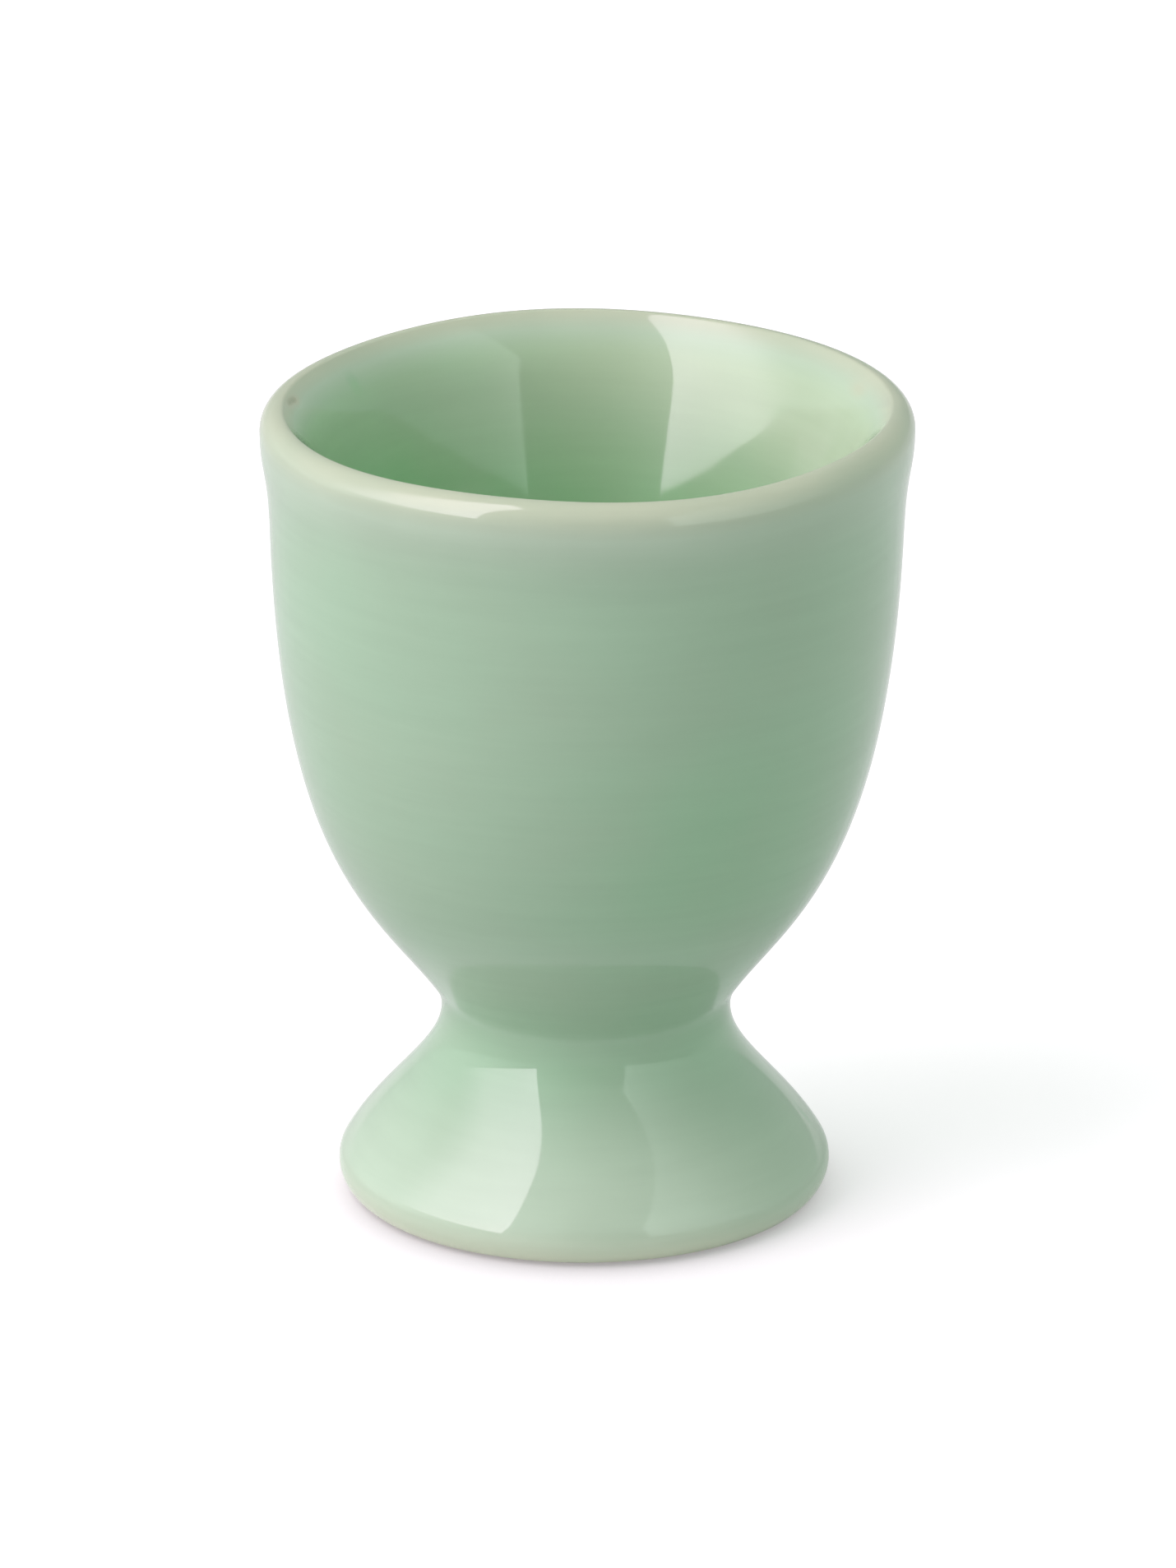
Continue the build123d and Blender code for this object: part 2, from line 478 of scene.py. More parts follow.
@dataclass(frozen=True)
class CeladonGlaze:
    """Celadon, a felspar glaze with a little iron, dipped and fired until it ran smooth.

    It gives the eye a wet, even gloss over a soft milky green, which is deeper where the glaze is thick and
    breaks to warm cream where it ran thin over an edge. Wiping and dipping leave faint level streaks, and
    grey clouds. The depths are where the first five colours lie, and the liner's colour tints the well.
    """

    bare: str = "#6E7250"
    edge: str = "#B0B19B"
    thin: str = "#A8B9A5"
    even: str = "#97B198"
    deep: str = "#84B48B"
    depths_mm: tuple[float, ...] = (0.0, 0.1, 0.22, 0.36, 0.6)
    grey: str = "#98A893"
    grey_share: float = 0.3
    grey_range: Point = (0.35, 0.7)
    liner: str = "#FFFFF4"
    roughnesses: Point = (0.045, 0.075)
    ior: float = 1.5
    noise_range: Point = (0.3, 0.7)
    streak_mm: float = 1.1
    streak_run_mm: float = 14.0
    streak_shades: Point = (0.98, 1.02)
    cloud_mm: float = 11.0
    ripple_mm: float = 2.4
    ripple_depth_mm: float = 0.01
    ripple_share: float = 0.5

    def material(self) -> bpy.types.Material:
        """Make the glaze: colour by the thickness of the coat, streaks, clouds and a faint ripple."""
        made, tree = new_material("celadon_glaze_dipped")
        place = add(tree, "ShaderNodeTexCoord").outputs["Object"]
        coat = add(tree, "ShaderNodeAttribute", attribute_name="glaze_mm").outputs["Fac"]
        ramp = add(tree, "ShaderNodeValToRGB", {"Fac": coat})
        middle_colours = (self.edge, self.thin, self.even)
        for depth, colour in zip(self.depths_mm[1:-1], middle_colours):
            ramp.color_ramp.elements.new(depth).color = linear(colour)
        ramp.color_ramp.elements[0].position = self.depths_mm[0]
        ramp.color_ramp.elements[0].color = linear(self.bare)
        ramp.color_ramp.elements[-1].position = self.depths_mm[-1]
        ramp.color_ramp.elements[-1].color = linear(self.deep)
        level = (1 / (self.streak_run_mm * MM), 1 / (self.streak_run_mm * MM), 1 / (self.streak_mm * MM))
        drawn = add(tree, "ShaderNodeVectorMath", {0: place, 1: level}, operation="MULTIPLY").outputs[0]
        streaks = add(
            tree, "ShaderNodeTexNoise", {"Vector": drawn, "Scale": 1.0, "Detail": 3.0, "Roughness": 0.6}
        )
        clouds = add(
            tree, "ShaderNodeTexNoise", {"Vector": place, "Scale": 1 / (self.cloud_mm * MM), "Detail": 2.0}
        )
        greys = span(clouds.outputs["Fac"], self.grey_range, (0.0, self.grey_share))
        cloudy = add(tree, "ShaderNodeMapRange", greys)
        toned = add(
            tree,
            "ShaderNodeMix",
            {0: cloudy.outputs[0], 6: ramp.outputs["Color"], 7: linear(self.grey)},
            data_type="RGBA",
            blend_type="MIX",
        )
        lined = add(tree, "ShaderNodeAttribute", attribute_name="in_well").outputs["Fac"]
        toned = add(
            tree,
            "ShaderNodeMix",
            {0: lined, 6: toned.outputs[2], 7: linear(self.liner)},
            data_type="RGBA",
            blend_type="MULTIPLY",
        )
        shades = span(streaks.outputs["Fac"], self.noise_range, self.streak_shades)
        shade = add(tree, "ShaderNodeMapRange", shades)
        colour = add(
            tree,
            "ShaderNodeMix",
            {0: 1.0, 6: toned.outputs[2], 7: shade.outputs[0]},
            data_type="RGBA",
            blend_type="MULTIPLY",
        )
        ripple = add(
            tree, "ShaderNodeTexNoise", {"Vector": place, "Scale": 1 / (self.ripple_mm * MM), "Detail": 1.0}
        )
        bump = add(
            tree,
            "ShaderNodeBump",
            {
                "Strength": self.ripple_share,
                "Distance": self.ripple_depth_mm * MM,
                "Height": ripple.outputs["Fac"],
            },
        )
        dulls = span(clouds.outputs["Fac"], self.noise_range, self.roughnesses)
        gloss = add(tree, "ShaderNodeMapRange", dulls)
        shader = add(
            tree,
            "ShaderNodeBsdfPrincipled",
            {
                "Base Color": colour.outputs[2],
                "Roughness": gloss.outputs[0],
                "IOR": self.ior,
                "Normal": bump.outputs["Normal"],
            },
        )
        add(tree, "ShaderNodeOutputMaterial", {"Surface": shader.outputs[0]})
        return made


@dataclass(frozen=True)
class BareStoneware:
    """Buff stoneware, thrown and fired bare where the cup stands on the kiln shelf.

    It gives the eye a dry, matt, warm clay with a fine sandy grit and a few darker grains.
    """

    name: str = "buff_stoneware_bare"
    clay: str = "#CDBB9F"
    shade: str = "#B49C7C"
    grain: str = "#8C7152"
    grain_mm: float = 1.5
    grain_edges: Point = (0.1, 0.2)
    grain_share: float = 0.6
    grit_mm: float = 0.5
    grit_depth_mm: float = 0.05
    grit_share: float = 0.6
    roughness: float = 0.85
    ior: float = 1.5

    def material(self) -> bpy.types.Material:
        """Make the clay: two tones, darker grains and a gritty bump."""
        made, tree = new_material(self.name)
        place = add(tree, "ShaderNodeTexCoord").outputs["Object"]
        fine = add(
            tree, "ShaderNodeTexNoise", {"Vector": place, "Scale": 1 / (self.grit_mm * MM), "Detail": 4.0}
        )
        grains = add(tree, "ShaderNodeTexVoronoi", {"Vector": place, "Scale": 1 / (self.grain_mm * MM)})
        specks = span(grains.outputs["Distance"], self.grain_edges, (self.grain_share, 0.0))
        speck = add(tree, "ShaderNodeMapRange", specks)
        body = add(
            tree,
            "ShaderNodeMix",
            {0: fine.outputs["Fac"], 6: linear(self.clay), 7: linear(self.shade)},
            data_type="RGBA",
        )
        colour = add(
            tree,
            "ShaderNodeMix",
            {0: speck.outputs[0], 6: body.outputs[2], 7: linear(self.grain)},
            data_type="RGBA",
        )
        bump = add(
            tree,
            "ShaderNodeBump",
            {
                "Strength": self.grit_share,
                "Distance": self.grit_depth_mm * MM,
                "Height": fine.outputs["Fac"],
            },
        )
        shader = add(
            tree,
            "ShaderNodeBsdfPrincipled",
            {
                "Base Color": colour.outputs[2],
                "Roughness": self.roughness,
                "IOR": self.ior,
                "Normal": bump.outputs["Normal"],
            },
        )
        add(tree, "ShaderNodeOutputMaterial", {"Surface": shader.outputs[0]})
        return made


@dataclass(frozen=True)
class PaperSweep:
    """Plain pale card under the cup: matt, and lifted to the picture's white where the camera sees it.

    Light meets plain card, with a whiter ring round the foot. The camera sees a tinted reflectance with a
    glow added to it, the pair of to_camera, both darkened by a painted shade in the crease at the foot: an
    ambient occlusion in the card's own material, not a shadow of the lamps. The painted shade is looked for
    at a lean towards the back, in degrees, so it lies more in front of the foot as a painted shadow. A gloss
    sees a share of the plain card, and a glow that rises from the camera's side, where the studio is dark,
    to the far side.
    """

    plain: float = 0.55
    near_foot: float = 0.95
    foot_reach_mm: Point = (20.0, 33.0)
    to_camera: Point = (0.6, 0.55)
    tint: str = "#FFF6FC"
    # Painted shade in the crease at the foot: its reach, its lean and its strength.
    painted_crease_shade_mm: float = 14.0
    painted_crease_shade_lean: float = 55.0
    painted_crease_shade_share: float = 0.55
    to_gloss: float = 0.6
    gloss_glows: Point = (0.02, 0.46)
    gloss_reach_mm: Point = (-110.0, 70.0)

    def material(self) -> bpy.types.Material:
        """Make the card: plain card to the light, and part glow where the camera or a gloss sees it."""
        made, tree = new_material("pale_card_matt")
        path = add(tree, "ShaderNodeLightPath").outputs
        spot = add(tree, "ShaderNodeTexCoord").outputs["Object"]
        along = add(tree, "ShaderNodeSeparateXYZ", {0: spot}).outputs["Y"]
        reach = (self.gloss_reach_mm[0] * MM, self.gloss_reach_mm[1] * MM)
        glows = span(along, reach, self.gloss_glows)
        lifted = add(tree, "ShaderNodeMapRange", glows, interpolation_type="SMOOTHSTEP")
        mirrored = {0: path["Is Glossy Ray"], 1: path["Is Transmission Ray"]}
        shiny = add(tree, "ShaderNodeMath", mirrored, operation="MAXIMUM")
        gloss, camera = shiny.outputs[0], path["Is Camera Ray"]
        away = add(tree, "ShaderNodeVectorMath", {0: spot}, operation="LENGTH").outputs["Value"]
        ring = (self.foot_reach_mm[0] * MM, self.foot_reach_mm[1] * MM)
        whites = span(away, ring, (self.near_foot, self.plain))
        white = add(tree, "ShaderNodeMapRange", whites, interpolation_type="SMOOTHSTEP").outputs[0]
        share = add(tree, "ShaderNodeMix", {0: gloss, 2: 1.0, 3: self.to_gloss}, data_type="FLOAT").outputs[0]
        pale = add(tree, "ShaderNodeMath", {0: white, 1: share}, operation="MULTIPLY")
        # Painted shade: an ambient occlusion darkens the card at the foot where the camera sees it, leaned
        # towards the back so that it falls in front of the foot as a painted shadow.
        lean = radians(self.painted_crease_shade_lean)
        towards = add(tree, "ShaderNodeCombineXYZ", {"Y": sin(lean), "Z": cos(lean)}).outputs[0]
        open_ = add(
            tree, "ShaderNodeAmbientOcclusion", {"Distance": self.painted_crease_shade_mm * MM, "Normal": towards}
        ).outputs["AO"]
        shaded = {0: self.painted_crease_shade_share, 2: 1.0, 3: open_}
        crease = add(tree, "ShaderNodeMix", shaded, data_type="FLOAT").outputs[0]
        # The camera's reflectance and glow both carry the painted shade.
        seen, lift = (
            add(tree, "ShaderNodeMath", {0: crease, 1: level}, operation="MULTIPLY").outputs[0]
            for level in self.to_camera
        )
        tinted = add(
            tree, "ShaderNodeVectorMath", {0: linear(self.tint)[:3], "Scale": seen}, operation="SCALE"
        ).outputs[0]
        pale = add(tree, "ShaderNodeMix", {0: camera, 6: pale.outputs[0], 7: tinted}, data_type="RGBA")
        glow = add(tree, "ShaderNodeMix", {0: gloss, 2: 0.0, 3: lifted.outputs[0]}, data_type="FLOAT")
        glow = add(tree, "ShaderNodeMix", {0: camera, 2: glow.outputs[0], 3: lift}, data_type="FLOAT")
        card = add(tree, "ShaderNodeBsdfDiffuse", {"Color": pale.outputs[2]})
        light = add(tree, "ShaderNodeEmission", {"Color": (1, 1, 1, 1), "Strength": glow.outputs[0]})
        both = add(tree, "ShaderNodeAddShader", {0: card.outputs[0], 1: light.outputs[0]})
        add(tree, "ShaderNodeOutputMaterial", {"Surface": both.outputs[0]})
        return made


@dataclass
class ClayBody:
    """The thrown clay: bowl, foot, and the ring of slip that lutes them together."""

    form: CupForm
    hand: HandTurning
    turns: int = 160

    def build(self) -> dict[str, bpy.types.Object]:
        """Turn the three pieces of clay.

        Returns:
            Each piece, by the name of the node that it stands for.
        """
        plans = {
            "bowl": ("bowl_clay", self.bowl_section()),
            "foot": ("foot_clay", self.foot_section()),
            "joint_slip": ("joint_slip_ring", self.slip_section()),
        }
        return {
            node: turned_object(name, self.hand.place(section, self.turns), node != "bowl")
            for node, (name, section) in plans.items()
        }

    def bowl_section(self) -> Array:
        """Axis in the well, over the rim, down to the luted base and back to the axis."""
        form = self.form
        fillet = form.clay_fillet
        outside = form.bowl_outside(Face.CLAY)
        outside = outside[outside[:, 1] > form.bowl_base]
        edge = on_circle(form.fillet_centre, fillet, pi - form.slip_angle)
        base = np.linspace((edge[0], form.bowl_base), (0.0, form.bowl_base), 12)
        inside, lip = form.well_inside(Face.CLAY), form.lip_outside(Face.CLAY)
        return np.concatenate([inside, lip[1:], outside[1:], base])

    def foot_section(self) -> Array:
        """Luted top of the foot, its outside, the bare ring that it stands on and the hollow."""
        form = self.form
        bore, outer = form.joint_radii
        inner = form.ring_inner_radius
        top = np.linspace((bore, form.waist_height), (outer, form.waist_height), 8)
        ring = np.linspace((form.edge_centre[0], 0.0), (form.ring_centre[0], 0.0), 6)
        turn_up = arc(form.ring_centre, (inner, inner), -pi / 2, form.hollow_angle - 2 * pi, count=10)
        wall = np.linspace(turn_up[-1], top[0], 24)
        return chain(top, form.foot_outside(Face.CLAY, pi / 2), ring, turn_up, wall)[:-1]

    def slip_section(self) -> Array:
        """Top of the slip, its round outside, its underside and its bore."""
        form = self.form
        bore, outer = form.joint_radii
        fillet = form.clay_fillet
        outside = arc(form.fillet_centre, (fillet, fillet), pi - form.slip_angle, pi, count=6)
        top = np.linspace((bore, form.bowl_base), outside[0], 8)
        under = np.linspace((outer, form.waist_height), (bore, form.waist_height), 8)
        return np.concatenate([top, outside[1:], under[1:]])

    def dress(self, pieces: dict[str, bpy.types.Object]) -> None:
        """Give the clay and the slip their finishes, and stand them in for their nodes.

        Args:
            pieces: What build returned.
        """
        clay = BareStoneware().material()
        pale = BareStoneware(name="pale_slip_bare", clay="#D6C8B0", shade="#C4B294", grain="#A58B69")
        slip = pale.material()
        for node, piece in pieces.items():
            piece.data.materials.append(slip if node == "joint_slip" else clay)
            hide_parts(node)
            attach(piece, BODY)


@dataclass
class GlazeCoat:
    """The fired glaze: one skin over the well, the rim and the outside, and a thin coat in the hollow foot.

    Lengths are in millimetres. A depth is how deep the glaze looks, which sets its colour. A reach is the
    distance over which a depth fades into the next. The well's lean and the two broad marks on the outside
    set depths as painted light and shade.
    """

    form: CupForm
    hand: HandTurning
    turns: int = 264
    underside_turns: int = 160
    under_step: int = 5
    roll_points: int = 7
    roll_drop: float = 0.12
    roll_depth: float = 0.1
    crest_depth: float = 0.13
    crest_reaches: Point = (2.0, 5.0)
    break_depth: float = 0.12
    break_at: Point = (1.5, 0.9)
    well_depths: Point = (0.28, 0.6)
    well_reaches: Point = (3.0, 15.0)
    # Painted light and shade: how far the well's coat leans from its lit side to its shaded side.
    painted_light_well_lean: float = 0.15
    thin_depth: float = 0.22
    liner_reaches: Point = (0.3, 3.0)
    wall_depth: float = 0.36
    waist_extra: float = 0.05
    waist_reach: float = 5.0
    foot_depth: float = 0.23
    foot_starts: float = 1.0
    foot_height: float = 4.0
    underside_depth: float = 0.3
    line_depth: float = 0.14
    line_reach: float = 2.2
    marks: tuple[Mark, ...] = (
        Mark(Side.WELL, turn=171.0, height=62.8, across=0.9, up=0.35, sink=0.02, thins=0.1),
        Mark(Side.WELL, turn=174.5, height=63.05, across=1.2, up=0.3, sink=0.02, thins=0.09),
        Mark(Side.WELL, turn=146.5, height=61.6, across=0.5, up=0.7, sink=0.02, thins=-0.14),
        Mark(Side.WELL, turn=20.0, height=62.2, across=1.4, up=0.5, sink=0.02, thins=0.08),
        Mark(Side.OUTSIDE, turn=-2.0, height=5.4, across=0.35, up=0.8, sink=0.05, thins=-0.25),
        # Painted shade: a broad patch of deeper green glaze on the belly's front right, away from the left
        # soft box.
        Mark(Side.OUTSIDE, turn=-62.0, height=33.0, across=11.0, up=11.0, sink=0.0, thins=-0.11),
        # Painted shade: a patch of deeper green glaze low on the foot's front right, where less light falls.
        Mark(Side.OUTSIDE, turn=-30.0, height=6.0, across=6.0, up=5.0, sink=0.0, thins=-0.05),
    )

    def build_skin(self) -> bpy.types.Object:
        """Turn the skin: its finished face, a rolled edge at the glaze line, and the face on the clay."""
        finished = self.form.glazed(Face.GLAZE)
        clay = self.form.glazed(Face.CLAY)
        wells = np.arange(len(finished)) < len(self.form.well_inside(Face.GLAZE))
        coat = self.colour_depth(finished, int(wells.sum()) - 1)
        roll = self.rolled_edge(finished[-1], clay[-1])
        under = np.concatenate([clay[: 0 : -self.under_step], clay[:1]])
        section = np.concatenate([finished, roll, under])
        rolled = np.full(len(roll), self.roll_depth)
        depth = np.concatenate([coat, rolled, coat[: 0 : -self.under_step], coat[:1]])
        wells = np.r_[wells, np.zeros(len(section) - len(wells), bool)]
        return self.marked_object("glaze_skin", section, depth, wells)

    def colour_depth(self, finished: Array, crest: int) -> Array:
        """Work out how deep the glaze looks along its finished face.

        It is shallow at the crest of the rim and reaches its full depth by a bell of the distance walked from
        it, quickly in the well and slowly outside. A second, narrow bell makes it shallowest where it broke
        over the lip's outside. It pools down the well and in the waist, and thins down the foot and at the
        glaze line.

        Args:
            finished: Radius and height along the face, from the bottom of the well to the glaze line.
            crest: Row of the rim's crest.

        Returns:
            The depth at each row, in millimetres.
        """
        steps = np.hypot(*np.diff(finished, axis=0).T)
        walked = np.r_[0, np.cumsum(steps)]
        inside, outside = self.crest_reaches
        away = walked - walked[crest]
        rim = np.exp(-((away / np.where(away < 0, inside, outside)) ** 2))
        broken = np.exp(-(((away - self.break_at[0]) / self.break_at[1]) ** 2))
        line = np.exp(-(((walked[-1] - walked) / self.line_reach) ** 2))
        waist = np.exp(-(((finished[:, 1] - self.form.waist_height) / self.waist_reach) ** 2)) * (away > 0)
        pool = smooth_step(*self.well_reaches, self.form.height - finished[:, 1])
        foot = smooth_step(self.form.waist_height - self.foot_starts, self.foot_height, finished[:, 1])
        well = self.well_depths[0] + (self.well_depths[1] - self.well_depths[0]) * pool
        wall = self.wall_depth + self.waist_extra * waist + (self.foot_depth - self.wall_depth) * foot
        full = np.where(away < 0, well, wall)
        full = full - (full - self.crest_depth) * rim - (full - self.line_depth) * line
        return full - (self.crest_depth - self.break_depth) * broken

    def rolled_edge(self, outer: Array, inner: Array) -> Array:
        """Half an ellipse that turns the coat's outer face into its inner one, a little below both."""
        middle, half = (outer + inner) / 2, (outer - inner) / 2
        down = np.array([half[1], -half[0]]) / np.hypot(*half)
        angle = np.linspace(0, pi, self.roll_points)[1:-1, None]
        return middle + half * np.cos(angle) + self.roll_drop * down * np.sin(angle)

    def marked_object(self, name: str, section: Array, depth: Array, wells: Array) -> bpy.types.Object:
        """Turn a section and press the marks into it.

        Down the well the coat also leans, as painted light and shade: it is thinner and paler towards +X, the
        side that the left soft box lights, and thicker and deeper green away from it, by a cosine of the
        turn, but never thinner than thin_depth. Each mark is a bell in the distance round and up from its
        middle. It moves the surface along the radius by its sink and takes its share off the coat.

        Args:
            name: Name of the object.
            section: Radius and height, one point a row.
            depth: Thickness of the coat at each row.
            wells: Which rows lie in the well.

        Returns:
            The object, with the coat's thickness, painted light and shade included, as its attribute
            glaze_mm, and in_well at 1 down the well.
        """
        rings = self.hand.place(section, self.turns)
        turn = np.linspace(0, 2 * pi, self.turns, endpoint=False)[None, :]
        upper, lower = (self.form.height - reach for reach in self.liner_reaches)
        lined = wells * smooth_step(upper, lower, section[:, 1])
        # Painted light and shade: the well's coat is paler on its lit right side and deeper on its shaded
        # left.
        painted_light_coat = np.maximum(depth[:, None] - self.painted_light_well_lean * np.cos(turn), self.thin_depth)
        coat = depth[:, None] + lined[:, None] * (painted_light_coat - depth[:, None])
        out = np.stack([np.cos(turn), np.sin(turn), np.zeros_like(turn)], axis=-1)
        for mark in self.marks:
            here = wells if mark.side is Side.WELL else ~wells
            away = (turn - radians(mark.turn) + pi) % (2 * pi) - pi
            round_, up = away * section[:, :1] / mark.across, (section[:, 1:] - mark.height) / mark.up
            bell = np.exp(-(round_**2) - up**2) * here[:, None]
            facing = 1.0 if mark.side is Side.WELL else -1.0
            rings = rings + (bell * mark.sink * facing * MM)[:, :, None] * out
            coat = coat - bell * mark.thins
        made = turned_object(name, rings, False)
        store(made, "glaze_mm", np.clip(coat, 0.0, 1.0), False)
        store(made, "in_well", np.repeat(lined[:, None], self.turns, axis=1), False)
        return made

    def build_underside(self) -> bpy.types.Object:
        """Turn the coat in the hollow: along base, bore and wall, and back at the coat's thickness."""
        form = self.form
        bore = form.joint_radii[0]
        thick = form.glaze_underneath
        inner = form.ring_inner_radius
        end = pi + asin((inner - form.glaze_line_height) / inner)
        ring = arc(form.ring_centre, (inner, inner), form.hollow_angle, end, count=10)
        face = arc(form.ring_centre, (inner + thick, inner + thick), end, form.hollow_angle, count=10)
        top = (bore, form.waist_height)
        face_top = on_circle(top, thick, form.hollow_angle)
        corner = (bore - thick, form.bowl_base - thick)
        section = np.concatenate(
            [
                np.linspace((0.0, form.bowl_base), (bore, form.bowl_base), 8),
                np.linspace(top, ring[0], 20)[:-1],
                ring,
                self.rolled_edge(face[0], ring[-1])[::-1],
                face,
                np.linspace(face[-1], face_top, 20)[1:],
                np.linspace(corner, (0.0, form.bowl_base - thick), 10),
            ]
        )
        made = turned_object("underside_coat", self.hand.place(section, self.underside_turns), False)
        store(made, "glaze_mm", np.full((len(section), self.underside_turns), self.underside_depth), False)
        return made

    def dress(self, skin: bpy.types.Object, underside: bpy.types.Object) -> None:
        """Give both coats the glaze, and stand them in for their nodes.

        Args:
            skin: What build_skin returned.
            underside: What build_underside returned.
        """
        glaze = CeladonGlaze().material()
        for piece, nodes in ((skin, ("outer_glaze", "liner_glaze")), (underside, ("underside_glaze",))):
            piece.data.materials.append(glaze)
            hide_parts(*nodes)
            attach(piece, BODY)


@dataclass(frozen=True)
class Panel:
    """An upright soft box beside the cup.

    Azimuths are in degrees from the camera's side, with the right positive: the way that the box stands, and
    its edges nearer to the camera and farther from it. Heights are in millimetres. The glows are its radiance
    at the near edge, low and high, and at the far edge, low and high. Past a share of its width from the
    near edge, it dies away.
    """

    name: str
    azimuth: float
    edges: Point
    heights: Point
    glows: tuple[float, float, float, float]
    colour: str
    distance: float = 700.0
    dies_from: float = 0.68

    def place(self) -> None:
        """Stand the soft box beside the cup and turn it square to its azimuth.

        An edge lies along the box by the distance times the tangent of its azimuth off the box's own. At a
        power of pi times its area, a glow of one is a radiance of one.
        """
        near, far = (self.distance * tan(radians(edge - self.azimuth)) for edge in self.edges)
        lamp = bpy.data.lights.new(self.name, "AREA")
        lamp.shape = "RECTANGLE"
        lamp.size = abs(near - far) * MM
        lamp.size_y = (self.heights[1] - self.heights[0]) * MM
        lamp.energy = pi * lamp.size * lamp.size_y
        self.fade(lamp)
        made = bpy.data.objects.new(self.name, lamp)
        turn = radians(self.azimuth)
        towards, along = Vector((sin(turn), -cos(turn), 0)), Vector((cos(turn), sin(turn), 0))
        middle = towards * self.distance + along * (near + far) / 2 + Vector((0, 0, sum(self.heights) / 2))
        made.location = middle * MM
        made.rotation_euler = towards.to_track_quat("Z", "Y").to_euler()
        made.visible_camera = False
        bpy.context.scene.collection.objects.link(made)

    def fade(self, lamp: bpy.types.AreaLight) -> None:
        """Blend the four glows over the box, and let it die away over the last part of its width."""
        lamp.use_nodes = True
        tree = lamp.node_tree
        tree.nodes.clear()
        spot = add(tree, "ShaderNodeNewGeometry").outputs["Parametric"]
        apart = add(tree, "ShaderNodeSeparateXYZ", {0: spot}).outputs
        ends = (1.0, 0.0) if self.azimuth < 0 else (0.0, 1.0)
        share = add(tree, "ShaderNodeMapRange", span(apart["X"], ends, (0.0, 1.0))).outputs[0]
        low = add(tree, "ShaderNodeMix", {0: share, 2: self.glows[0], 3: self.glows[2]}, data_type="FLOAT")
        high = add(tree, "ShaderNodeMix", {0: share, 2: self.glows[1], 3: self.glows[3]}, data_type="FLOAT")
        level = add(
            tree, "ShaderNodeMix", {0: apart["Y"], 2: low.outputs[0], 3: high.outputs[0]}, data_type="FLOAT"
        )
        last = span(share, (1.0, self.dies_from), (0.0, 1.0))
        dying = add(tree, "ShaderNodeMapRange", last, interpolation_type="SMOOTHSTEP").outputs[0]
        faded = {0: level.outputs[0], 1: dying}
        strength = add(tree, "ShaderNodeMath", faded, operation="MULTIPLY").outputs[0]
        glow = add(tree, "ShaderNodeEmission", {"Color": linear(self.colour), "Strength": strength})
        add(tree, "ShaderNodeOutputLight", {"Surface": glow.outputs[0]})


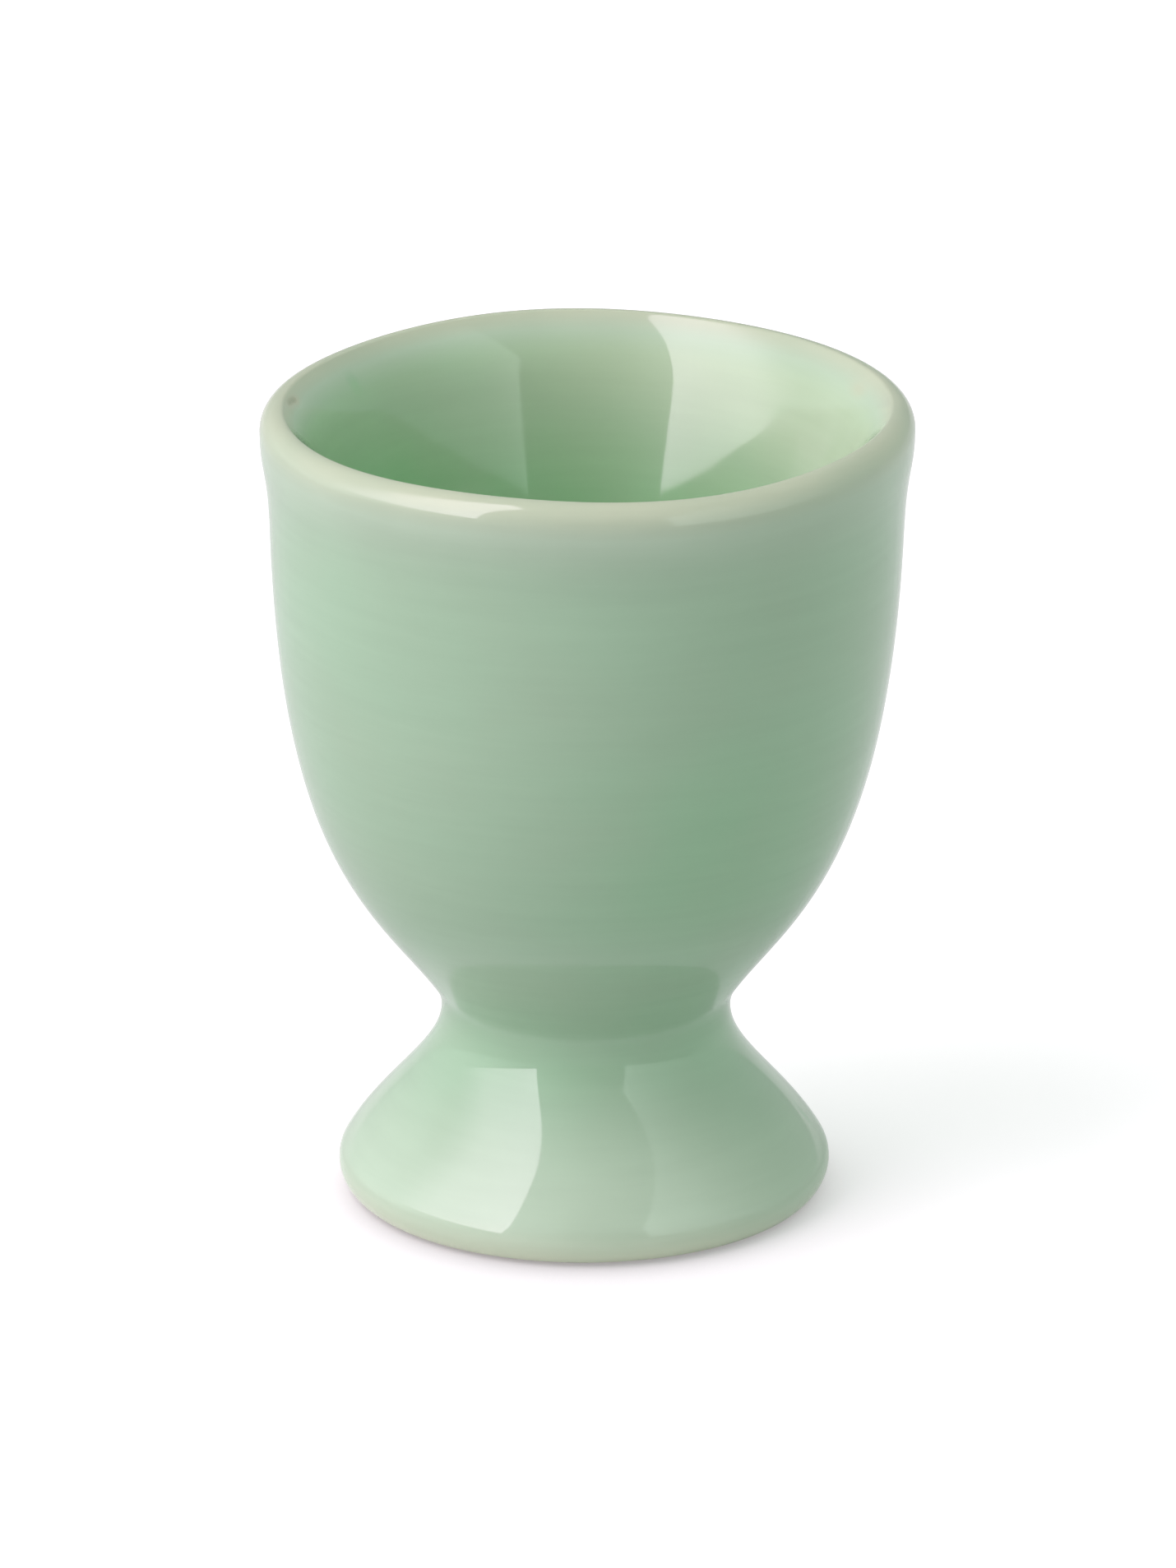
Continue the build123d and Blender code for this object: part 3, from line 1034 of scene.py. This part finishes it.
@dataclass
class Studio:
    """White card, two soft boxes, a pale room and the camera that took the photograph.

    Lengths are in millimetres and angles in degrees. The glows are the room's walls, in the order named.
    """

    distance: float = 900.0
    elevation: float = 20.1
    aim_height: float = 32.67
    aim_side: float = 0.11
    pixels_a_millimetre: float = 15.75
    sensor: float = 36.0
    nearest: float = 10.0
    card_half: float = 2000.0
    card_points: int = 9
    glow_right_back_up: Triple = (1.1, 0.46, 0.68)
    glow_left_front_down: Triple = (1.6, 0.05, 0.0)
    room_tint: str = "#F1FFF7"
    panels: tuple[Panel, ...] = (
        Panel(
            name="left_soft_box",
            azimuth=-95.0,
            edges=(-37.5, -108.0),
            heights=(180.0, 3300.0),
            glows=(6.1, 3.8, 1.1, 8.0),
            colour="#FFF0FC",
        ),
        Panel(
            name="right_soft_box",
            azimuth=100.0,
            edges=(29.7, 102.0),
            heights=(40.0, 1450.0),
            glows=(1.95, 1.85, 0.0, 0.0),
            colour="#F1FFF7",
        ),
    )

    def build(self) -> None:
        """Lay the card, hang the panels, light the room and set the camera."""
        self.card()
        for panel in self.panels:
            panel.place()
        self.room()
        self.camera()

    def card(self) -> None:
        """Lay a level square grid of white card."""
        points = self.card_points
        reach = np.linspace(-self.card_half, self.card_half, points) * MM
        across, along = np.meshgrid(reach, reach)
        spots = np.stack([across, along, np.zeros_like(across)], axis=-1).reshape(-1, 3)
        here = np.arange(points * points).reshape(points, points)
        faces = np.stack([here[:-1, :-1], here[:-1, 1:], here[1:, 1:], here[1:, :-1]], axis=-1).reshape(-1, 4)
        mesh = bpy.data.meshes.new("white_card")
        mesh.from_pydata(spots.tolist(), [], faces.tolist())
        made = bpy.data.objects.new("white_card", mesh)
        made.data.materials.append(PaperSweep().material())
        bpy.context.scene.collection.objects.link(made)

    def room(self) -> None:
        """Light the room: white to the camera, and otherwise darker on the camera's side.

        Along each axis the brightness is the square of the direction's share of that axis, times the glow of
        the wall that it points to, so the shares add up to one.
        """
        world = bpy.data.worlds.new("pale_room")
        bpy.context.scene.world = world
        world.use_nodes = True
        tree = world.node_tree
        tree.nodes.clear()
        way = add(tree, "ShaderNodeTexCoord").outputs["Generated"]
        ahead = add(tree, "ShaderNodeVectorMath", {0: way, 1: (0, 0, 0)}, operation="MAXIMUM").outputs[0]
        behind = add(tree, "ShaderNodeVectorMath", {0: way, 1: (0, 0, 0)}, operation="MINIMUM").outputs[0]
        walls = (self.glow_right_back_up, self.glow_left_front_down)
        parts = []
        for part, glows in zip((ahead, behind), walls):
            square = add(tree, "ShaderNodeVectorMath", {0: part, 1: part}, operation="MULTIPLY").outputs[0]
            lit = add(tree, "ShaderNodeVectorMath", {0: square, 1: glows}, operation="DOT_PRODUCT")
            parts.append(lit.outputs["Value"])
        room = add(tree, "ShaderNodeMath", {0: parts[0], 1: parts[1]}, operation="ADD")
        seen = add(tree, "ShaderNodeLightPath").outputs["Is Camera Ray"]
        strength = add(tree, "ShaderNodeMix", {0: seen, 2: room.outputs[0], 3: 1.0}, data_type="FLOAT")
        tint = add(
            tree, "ShaderNodeMix", {0: seen, 6: linear(self.room_tint), 7: (1, 1, 1, 1)}, data_type="RGBA"
        )
        sky = add(tree, "ShaderNodeBackground", {"Color": tint.outputs[2], "Strength": strength.outputs[0]})
        add(tree, "ShaderNodeOutputWorld", {"Surface": sky.outputs[0]})

    def camera(self) -> None:
        """Stand the camera where the photograph was taken from."""
        lens = bpy.data.cameras.new("photo_camera")
        lens.sensor_width = self.sensor
        lens.lens = self.pixels_a_millimetre * self.distance / PHOTO_ROWS * lens.sensor_width
        lens.clip_start = self.nearest * MM
        made = bpy.data.objects.new("photo_camera", lens)
        lift = radians(self.elevation)
        back, up = self.distance * cos(lift), self.aim_height + self.distance * sin(lift)
        made.location = Vector((self.aim_side, -back, up)) * MM
        made.rotation_euler = (pi / 2 - lift, 0, 0)
        bpy.context.scene.collection.objects.link(made)
        bpy.context.scene.camera = made


def report(pieces: list[bpy.types.Object]) -> None:
    """Log each piece with its count of points.

    Args:
        pieces: Objects that make up the cup.
    """
    for piece in pieces:
        LOG.info("%s: %d points", piece.name, len(piece.data.vertices))


def main() -> None:
    """Load the frame, make the clay, glaze it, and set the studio."""
    logging.basicConfig(level=logging.INFO, format="%(name)s %(message)s")
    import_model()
    form = CupForm.from_frame()
    hand = HandTurning(form)
    clay = ClayBody(form, hand)
    bodies = clay.build()
    clay.dress(bodies)
    glaze = GlazeCoat(form, hand)
    skin = glaze.build_skin()
    underside = glaze.build_underside()
    glaze.dress(skin, underside)
    report([*bodies.values(), skin, underside])
    Studio().build()
    bpy.context.scene.view_settings.view_transform = "Standard"


if __name__ == "__main__":
    main()
